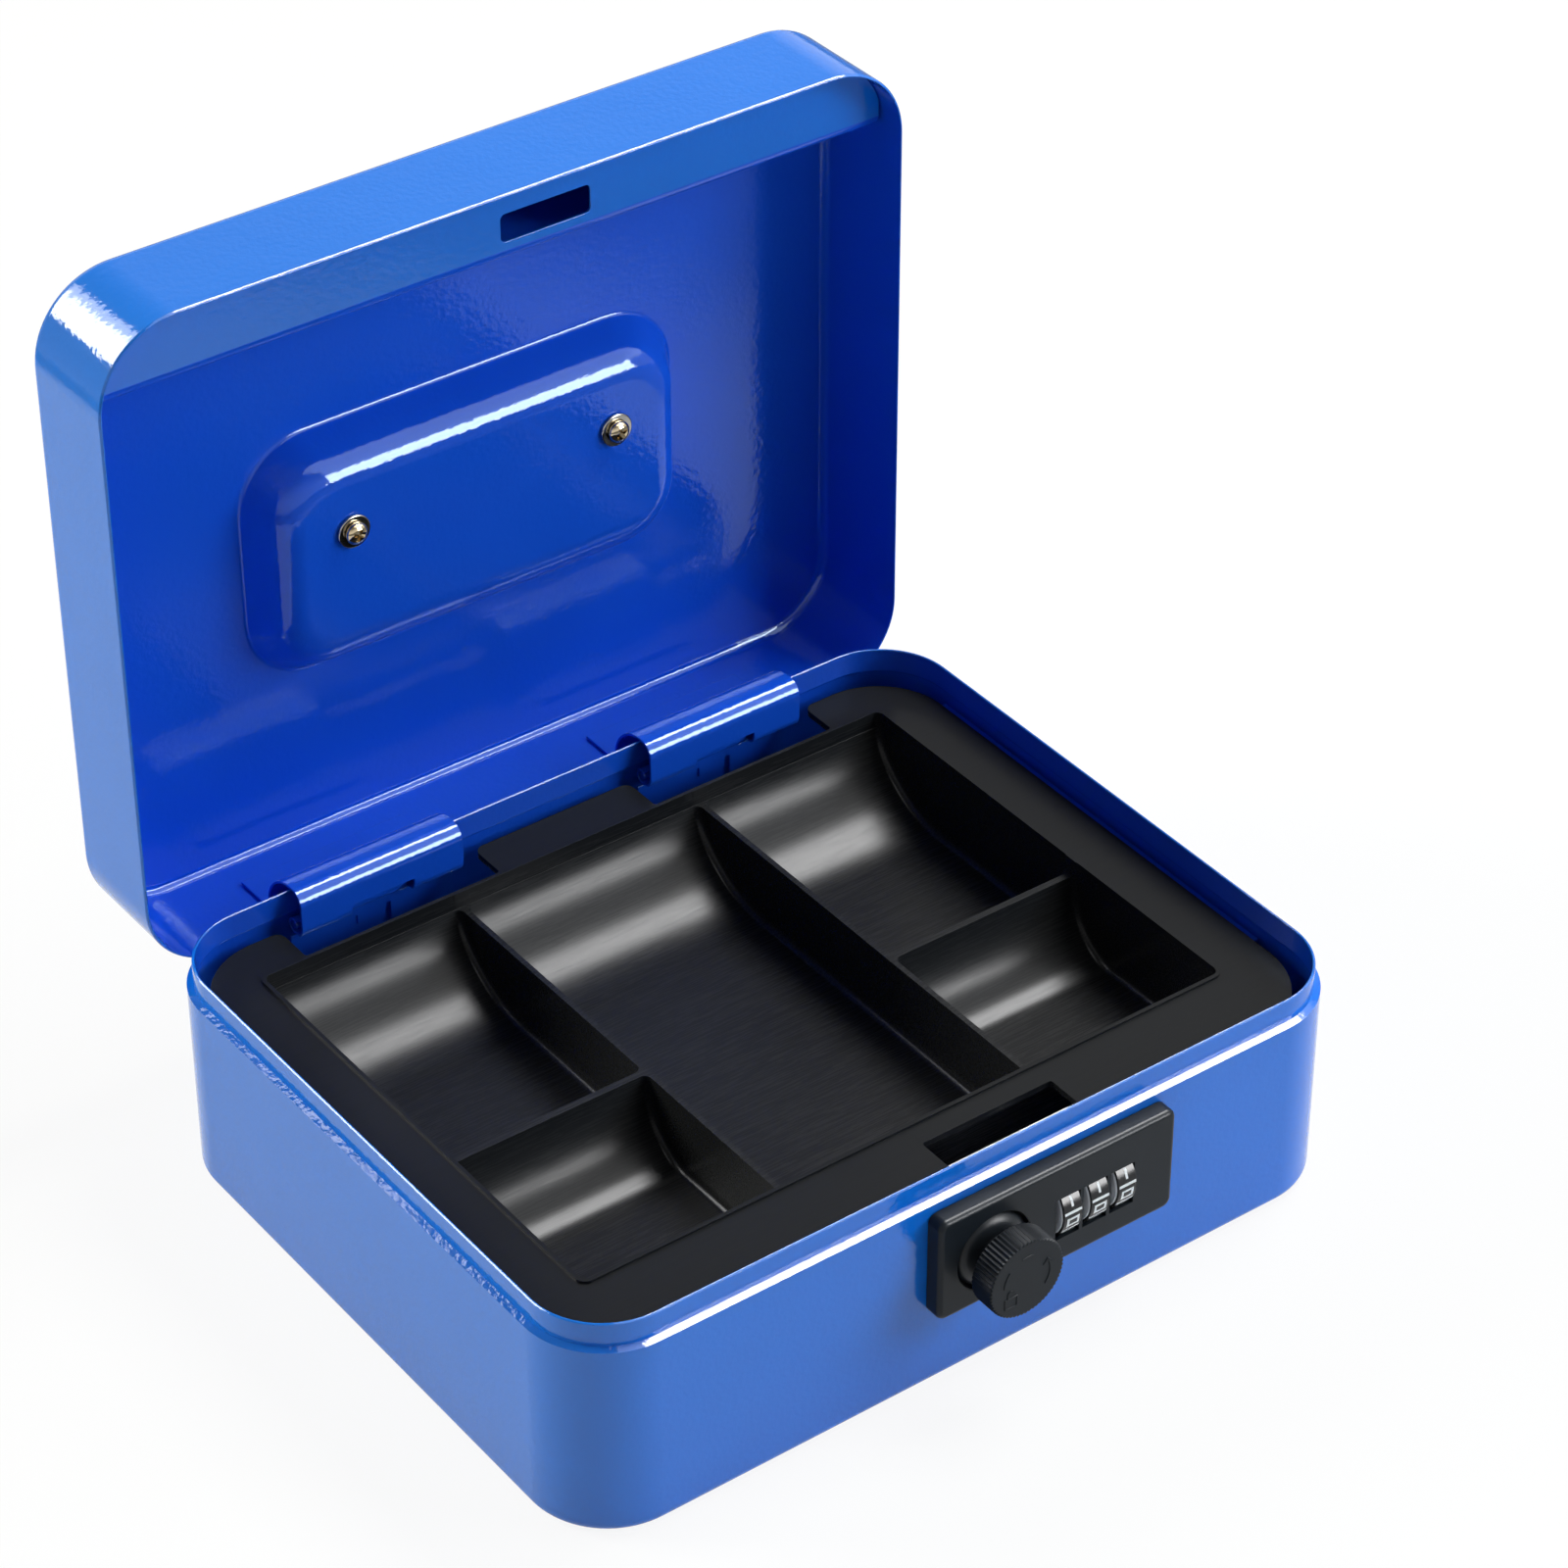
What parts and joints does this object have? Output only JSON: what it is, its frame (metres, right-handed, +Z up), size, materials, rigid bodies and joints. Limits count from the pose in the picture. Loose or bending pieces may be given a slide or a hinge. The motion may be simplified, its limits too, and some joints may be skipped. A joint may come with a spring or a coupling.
{
  "type": "portable cash box",
  "caption": "Portable sheet-steel cash box with a hinged lid, fold-flat bail handle, dial combination lock with turn knob, and a lift-out coin tray.",
  "frame": {"origin": "centre of the base's flat underside, on the surface it stands on", "axes": "+Z up, +X to the right and -Y out of the front wall with the lock, so the hinges are at +Y"},
  "size_m": [0.25, 0.2543, 0.2537],
  "materials": {
    "blue_paint": "glossy blue powder coat with fine orange peel",
    "yellow_zinc": "yellow-passivated zinc on steel",
    "washer_zinc": "bright zinc on steel",
    "chrome_plate": "polished chrome plate",
    "lock_plastic": "satin black, fine grain",
    "lock_steel": "plain zinc-plated sheet",
    "dial_plastic": "semi-gloss black with white numerals",
    "tray_plastic": "moulded black, satin flange and glossier pockets"
  },
  "bodies": {
    "base": {"base_shell": "blue_paint", "tray_ledge_left": "blue_paint", "tray_ledge_right": "blue_paint", "hinge_base_leaf_left": "blue_paint", "hinge_base_leaf_right": "blue_paint", "hinge_pin_left": "blue_paint", "hinge_pin_right": "blue_paint", "lock_plate": "lock_plastic", "lock_case": "lock_steel", "lock_screw_left": "yellow_zinc", "lock_screw_right": "yellow_zinc", "dial_axle": "lock_steel", "dial_spring": "lock_steel"},
    "lid": {"lid_shell": "blue_paint", "lid_latch_strip": "blue_paint", "hinge_lid_leaf_left": "blue_paint", "hinge_lid_leaf_right": "blue_paint", "handle_screw_left": "yellow_zinc", "handle_screw_right": "yellow_zinc", "handle_washer_left": "washer_zinc", "handle_washer_right": "washer_zinc", "handle_lug_left": "chrome_plate", "handle_lug_right": "chrome_plate"},
    "handle": {"bail_handle": "chrome_plate"},
    "tray": {"coin_tray": "tray_plastic"},
    "knob": {"knob": "lock_plastic", "knob_spindle": "lock_steel", "latch_hook": "lock_steel", "hook_nut": "yellow_zinc"},
    "dial_1": {"dial_wheel_1": "dial_plastic"},
    "dial_2": {"dial_wheel_2": "dial_plastic"},
    "dial_3": {"dial_wheel_3": "dial_plastic"},
    "slide": {"lock_slide": "lock_steel"},
    "lever": {"code_change_lever": "lock_steel"}
  },
  "joints": [
    {"name": "lid_hinge", "type": "hinge", "parent": "base", "child": "lid", "pos_m": [0, 0.0965, 0.0572], "axis": [-1, 0, 0], "range_deg": [-90, 0]},
    {"name": "handle_fold", "type": "hinge", "parent": "lid", "child": "handle", "pos_m": [0, 0.1275, 0.1557], "axis": [1, 0, 0], "range_deg": [0, 90]},
    {"name": "tray_lift", "type": "slide", "parent": "base", "child": "tray", "axis": [0, 0, 1], "range_m": [0, 0.12]},
    {"name": "knob_turn", "type": "hinge", "parent": "base", "child": "knob", "pos_m": [-0.0015, -0.103, 0.041], "axis": [0, -1, 0], "range_deg": [0, 90]},
    {"name": "dial_turn_1", "type": "hinge", "parent": "base", "child": "dial_1", "pos_m": [0.023, -0.0972, 0.041], "axis": [1, 0, 0], "continuous": true},
    {"name": "dial_turn_2", "type": "hinge", "parent": "base", "child": "dial_2", "pos_m": [0.032, -0.0972, 0.041], "axis": [1, 0, 0], "continuous": true},
    {"name": "dial_turn_3", "type": "hinge", "parent": "base", "child": "dial_3", "pos_m": [0.041, -0.0972, 0.041], "axis": [1, 0, 0], "continuous": true},
    {"name": "lock_slide_shift", "type": "slide", "parent": "base", "child": "slide", "axis": [1, 0, 0], "range_m": [0, 0.0008]},
    {"name": "code_change", "type": "slide", "parent": "base", "child": "lever", "axis": [1, 0, 0], "range_m": [0, 0.003]}
  ],
  "couplings": [
    {"joint": "lock_slide_shift", "follows": "knob_turn", "m_per_rad": 0.0005}
  ]
}
